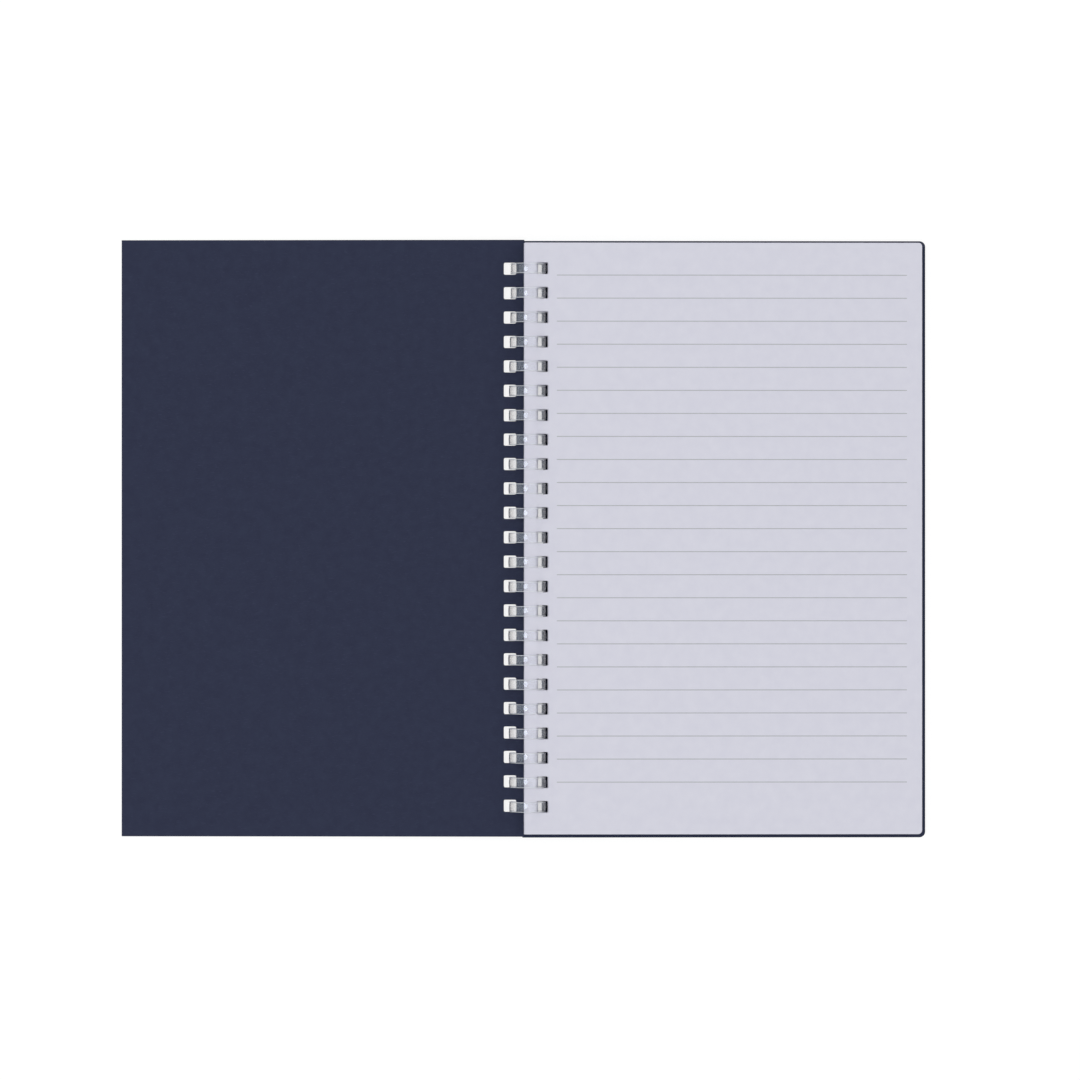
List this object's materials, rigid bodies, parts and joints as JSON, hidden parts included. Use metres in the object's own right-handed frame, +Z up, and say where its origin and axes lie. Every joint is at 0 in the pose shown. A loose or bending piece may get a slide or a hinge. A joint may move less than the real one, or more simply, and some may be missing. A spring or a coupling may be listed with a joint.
{
  "type": "open comb-bound notebook",
  "caption": "Ruled notebook lying open at its first leaf: a plain navy board cover on each side, a thick block of slotted leaves, and a clear plastic comb binding.",
  "frame": {"origin": "on the table, under the middle of the open notebook", "axes": "+X from the spine towards the fore edge of the pages, +Y along the spine towards the head of the page, +Z up from the table"},
  "size_m": [0.279, 0.2074, 0.0132],
  "materials": {
    "cover_board": "matte",
    "paper": "matte",
    "ink": "matte",
    "clear_plastic": "gloss"
  },
  "bodies": {
    "back_cover": {"back_cover": "cover_board"},
    "front_cover": {"front_cover": "cover_board"},
    "page_block": {"page_block": "paper", "ruled_lines": "ink"},
    "comb": {"comb_binding": "clear_plastic"}
  },
  "joints": [
    {"name": "front_cover_hinge", "type": "hinge", "parent": "back_cover", "child": "front_cover", "pos_m": [0.00136, 0.00038, 0.0066], "axis": [0, 1, 0], "range_deg": [0, 182]},
    {"name": "page_block_turn", "type": "hinge", "parent": "back_cover", "child": "page_block", "pos_m": [0.00136, 0.00038, 0.0066], "axis": [0, 1, 0], "range_deg": [-182, 0]},
    {"name": "comb_turn", "type": "hinge", "parent": "back_cover", "child": "comb", "pos_m": [0.00136, 0.00038, 0.0066], "axis": [0, 1, 0], "range_deg": [-8, 8]}
  ]
}
